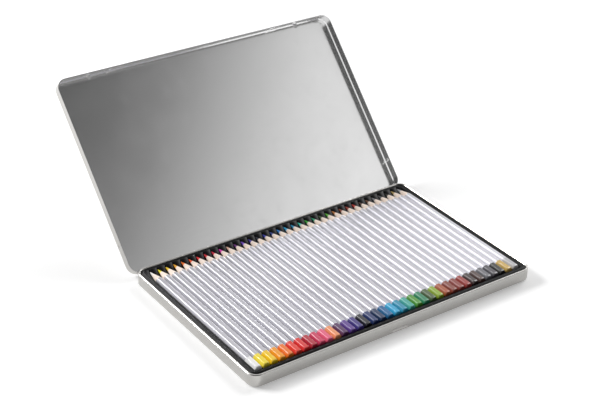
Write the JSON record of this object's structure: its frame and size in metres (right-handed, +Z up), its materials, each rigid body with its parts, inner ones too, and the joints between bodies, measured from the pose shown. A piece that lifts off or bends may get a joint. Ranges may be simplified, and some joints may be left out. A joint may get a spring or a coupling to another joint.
{
  "type": "hinged pencil tin",
  "caption": "Flat metal tin with a rolled rim and a hinged lid that leans open, and a black formed tray holding a row of hexagonal colored pencils that lift out.",
  "frame": {"origin": "middle of the flat underside of the base, on the surface it stands on", "axes": "+X along the row of pencils, +Y from their dipped ends to their points and the hinge, +Z up"},
  "size_m": [0.3148, 0.3381, 0.147],
  "materials": {
    "tin_plate": "satin",
    "pin_wire": "bright",
    "tray_black": "satin",
    "lacquer_white": "gloss lacquer",
    "lacquer_lemon": "gloss lacquer",
    "lacquer_yellow": "gloss lacquer",
    "lacquer_amber": "gloss lacquer",
    "lacquer_orange": "gloss lacquer",
    "lacquer_scarlet": "gloss lacquer",
    "lacquer_red": "gloss lacquer",
    "lacquer_crimson": "gloss lacquer",
    "lacquer_raspberry": "gloss lacquer",
    "lacquer_pink": "gloss lacquer",
    "lacquer_peach": "gloss lacquer",
    "lacquer_plum": "gloss lacquer",
    "lacquer_violet": "gloss lacquer",
    "lacquer_indigo": "gloss lacquer",
    "lacquer_ink": "gloss lacquer",
    "lacquer_navy": "gloss lacquer",
    "lacquer_midnight": "gloss lacquer",
    "lacquer_prussian": "gloss lacquer",
    "lacquer_azure": "gloss lacquer",
    "lacquer_cerulean": "gloss lacquer",
    "lacquer_turquoise": "gloss lacquer",
    "lacquer_leaf_green": "gloss lacquer",
    "lacquer_emerald": "gloss lacquer",
    "lacquer_olive": "gloss lacquer",
    "lacquer_lime": "gloss lacquer",
    "lacquer_rust": "gloss lacquer",
    "lacquer_sienna": "gloss lacquer",
    "lacquer_russet": "gloss lacquer",
    "lacquer_carmine": "gloss lacquer",
    "lacquer_umber": "gloss lacquer",
    "lacquer_brown": "gloss lacquer",
    "lacquer_mid_grey": "gloss lacquer",
    "lacquer_slate": "gloss lacquer",
    "lacquer_black": "gloss lacquer",
    "lacquer_gold": "gloss lacquer",
    "lacquer_silver": "gloss lacquer"
  },
  "bodies": {
    "base": {"base_pan": "tin_plate", "hinge_pin_left": "pin_wire", "hinge_pin_right": "pin_wire"},
    "lid": {"lid": "tin_plate"},
    "tray": {"pencil_tray": "tray_black"},
    "pencil_01": {"pencil_01_white": "lacquer_white"},
    "pencil_02": {"pencil_02_lemon": "lacquer_lemon"},
    "pencil_03": {"pencil_03_yellow": "lacquer_yellow"},
    "pencil_04": {"pencil_04_amber": "lacquer_amber"},
    "pencil_05": {"pencil_05_orange": "lacquer_orange"},
    "pencil_06": {"pencil_06_scarlet": "lacquer_scarlet"},
    "pencil_07": {"pencil_07_red": "lacquer_red"},
    "pencil_08": {"pencil_08_crimson": "lacquer_crimson"},
    "pencil_09": {"pencil_09_raspberry": "lacquer_raspberry"},
    "pencil_10": {"pencil_10_pink": "lacquer_pink"},
    "pencil_11": {"pencil_11_peach": "lacquer_peach"},
    "pencil_12": {"pencil_12_plum": "lacquer_plum"},
    "pencil_13": {"pencil_13_violet": "lacquer_violet"},
    "pencil_14": {"pencil_14_indigo": "lacquer_indigo"},
    "pencil_15": {"pencil_15_ink": "lacquer_ink"},
    "pencil_16": {"pencil_16_navy": "lacquer_navy"},
    "pencil_17": {"pencil_17_midnight": "lacquer_midnight"},
    "pencil_18": {"pencil_18_prussian": "lacquer_prussian"},
    "pencil_19": {"pencil_19_azure": "lacquer_azure"},
    "pencil_20": {"pencil_20_cerulean": "lacquer_cerulean"},
    "pencil_21": {"pencil_21_turquoise": "lacquer_turquoise"},
    "pencil_22": {"pencil_22_leaf_green": "lacquer_leaf_green"},
    "pencil_23": {"pencil_23_emerald": "lacquer_emerald"},
    "pencil_24": {"pencil_24_olive": "lacquer_olive"},
    "pencil_25": {"pencil_25_lime": "lacquer_lime"},
    "pencil_26": {"pencil_26_rust": "lacquer_rust"},
    "pencil_27": {"pencil_27_sienna": "lacquer_sienna"},
    "pencil_28": {"pencil_28_russet": "lacquer_russet"},
    "pencil_29": {"pencil_29_carmine": "lacquer_carmine"},
    "pencil_30": {"pencil_30_umber": "lacquer_umber"},
    "pencil_31": {"pencil_31_brown": "lacquer_brown"},
    "pencil_32": {"pencil_32_mid_grey": "lacquer_mid_grey"},
    "pencil_33": {"pencil_33_slate": "lacquer_slate"},
    "pencil_34": {"pencil_34_black": "lacquer_black"},
    "pencil_35": {"pencil_35_gold": "lacquer_gold"},
    "pencil_36": {"pencil_36_silver": "lacquer_silver"}
  },
  "joints": [
    {"name": "lid_hinge", "type": "hinge", "parent": "base", "child": "lid", "pos_m": [0, 0.09825, 0.0066], "axis": [-1, 0, 0], "range_deg": [-134.5, 0]},
    {"name": "insert_lift", "type": "slide", "parent": "base", "child": "tray", "axis": [0, 0, 1], "range_m": [0, 0.02]},
    {"name": "pencil_01_lift", "type": "slide", "parent": "tray", "child": "pencil_01", "axis": [0, 0, 1], "range_m": [0, 0.02]},
    {"name": "pencil_02_lift", "type": "slide", "parent": "tray", "child": "pencil_02", "axis": [0, 0, 1], "range_m": [0, 0.02]},
    {"name": "pencil_03_lift", "type": "slide", "parent": "tray", "child": "pencil_03", "axis": [0, 0, 1], "range_m": [0, 0.02]},
    {"name": "pencil_04_lift", "type": "slide", "parent": "tray", "child": "pencil_04", "axis": [0, 0, 1], "range_m": [0, 0.02]},
    {"name": "pencil_05_lift", "type": "slide", "parent": "tray", "child": "pencil_05", "axis": [0, 0, 1], "range_m": [0, 0.02]},
    {"name": "pencil_06_lift", "type": "slide", "parent": "tray", "child": "pencil_06", "axis": [0, 0, 1], "range_m": [0, 0.02]},
    {"name": "pencil_07_lift", "type": "slide", "parent": "tray", "child": "pencil_07", "axis": [0, 0, 1], "range_m": [0, 0.02]},
    {"name": "pencil_08_lift", "type": "slide", "parent": "tray", "child": "pencil_08", "axis": [0, 0, 1], "range_m": [0, 0.02]},
    {"name": "pencil_09_lift", "type": "slide", "parent": "tray", "child": "pencil_09", "axis": [0, 0, 1], "range_m": [0, 0.02]},
    {"name": "pencil_10_lift", "type": "slide", "parent": "tray", "child": "pencil_10", "axis": [0, 0, 1], "range_m": [0, 0.02]},
    {"name": "pencil_11_lift", "type": "slide", "parent": "tray", "child": "pencil_11", "axis": [0, 0, 1], "range_m": [0, 0.02]},
    {"name": "pencil_12_lift", "type": "slide", "parent": "tray", "child": "pencil_12", "axis": [0, 0, 1], "range_m": [0, 0.02]},
    {"name": "pencil_13_lift", "type": "slide", "parent": "tray", "child": "pencil_13", "axis": [0, 0, 1], "range_m": [0, 0.02]},
    {"name": "pencil_14_lift", "type": "slide", "parent": "tray", "child": "pencil_14", "axis": [0, 0, 1], "range_m": [0, 0.02]},
    {"name": "pencil_15_lift", "type": "slide", "parent": "tray", "child": "pencil_15", "axis": [0, 0, 1], "range_m": [0, 0.02]},
    {"name": "pencil_16_lift", "type": "slide", "parent": "tray", "child": "pencil_16", "axis": [0, 0, 1], "range_m": [0, 0.02]},
    {"name": "pencil_17_lift", "type": "slide", "parent": "tray", "child": "pencil_17", "axis": [0, 0, 1], "range_m": [0, 0.02]},
    {"name": "pencil_18_lift", "type": "slide", "parent": "tray", "child": "pencil_18", "axis": [0, 0, 1], "range_m": [0, 0.02]},
    {"name": "pencil_19_lift", "type": "slide", "parent": "tray", "child": "pencil_19", "axis": [0, 0, 1], "range_m": [0, 0.02]},
    {"name": "pencil_20_lift", "type": "slide", "parent": "tray", "child": "pencil_20", "axis": [0, 0, 1], "range_m": [0, 0.02]},
    {"name": "pencil_21_lift", "type": "slide", "parent": "tray", "child": "pencil_21", "axis": [0, 0, 1], "range_m": [0, 0.02]},
    {"name": "pencil_22_lift", "type": "slide", "parent": "tray", "child": "pencil_22", "axis": [0, 0, 1], "range_m": [0, 0.02]},
    {"name": "pencil_23_lift", "type": "slide", "parent": "tray", "child": "pencil_23", "axis": [0, 0, 1], "range_m": [0, 0.02]},
    {"name": "pencil_24_lift", "type": "slide", "parent": "tray", "child": "pencil_24", "axis": [0, 0, 1], "range_m": [0, 0.02]},
    {"name": "pencil_25_lift", "type": "slide", "parent": "tray", "child": "pencil_25", "axis": [0, 0, 1], "range_m": [0, 0.02]},
    {"name": "pencil_26_lift", "type": "slide", "parent": "tray", "child": "pencil_26", "axis": [0, 0, 1], "range_m": [0, 0.02]},
    {"name": "pencil_27_lift", "type": "slide", "parent": "tray", "child": "pencil_27", "axis": [0, 0, 1], "range_m": [0, 0.02]},
    {"name": "pencil_28_lift", "type": "slide", "parent": "tray", "child": "pencil_28", "axis": [0, 0, 1], "range_m": [0, 0.02]},
    {"name": "pencil_29_lift", "type": "slide", "parent": "tray", "child": "pencil_29", "axis": [0, 0, 1], "range_m": [0, 0.02]},
    {"name": "pencil_30_lift", "type": "slide", "parent": "tray", "child": "pencil_30", "axis": [0, 0, 1], "range_m": [0, 0.02]},
    {"name": "pencil_31_lift", "type": "slide", "parent": "tray", "child": "pencil_31", "axis": [0, 0, 1], "range_m": [0, 0.02]},
    {"name": "pencil_32_lift", "type": "slide", "parent": "tray", "child": "pencil_32", "axis": [0, 0, 1], "range_m": [0, 0.02]},
    {"name": "pencil_33_lift", "type": "slide", "parent": "tray", "child": "pencil_33", "axis": [0, 0, 1], "range_m": [0, 0.02]},
    {"name": "pencil_34_lift", "type": "slide", "parent": "tray", "child": "pencil_34", "axis": [0, 0, 1], "range_m": [0, 0.02]},
    {"name": "pencil_35_lift", "type": "slide", "parent": "tray", "child": "pencil_35", "axis": [0, 0, 1], "range_m": [0, 0.02]},
    {"name": "pencil_36_lift", "type": "slide", "parent": "tray", "child": "pencil_36", "axis": [0, 0, 1], "range_m": [0, 0.02]}
  ]
}
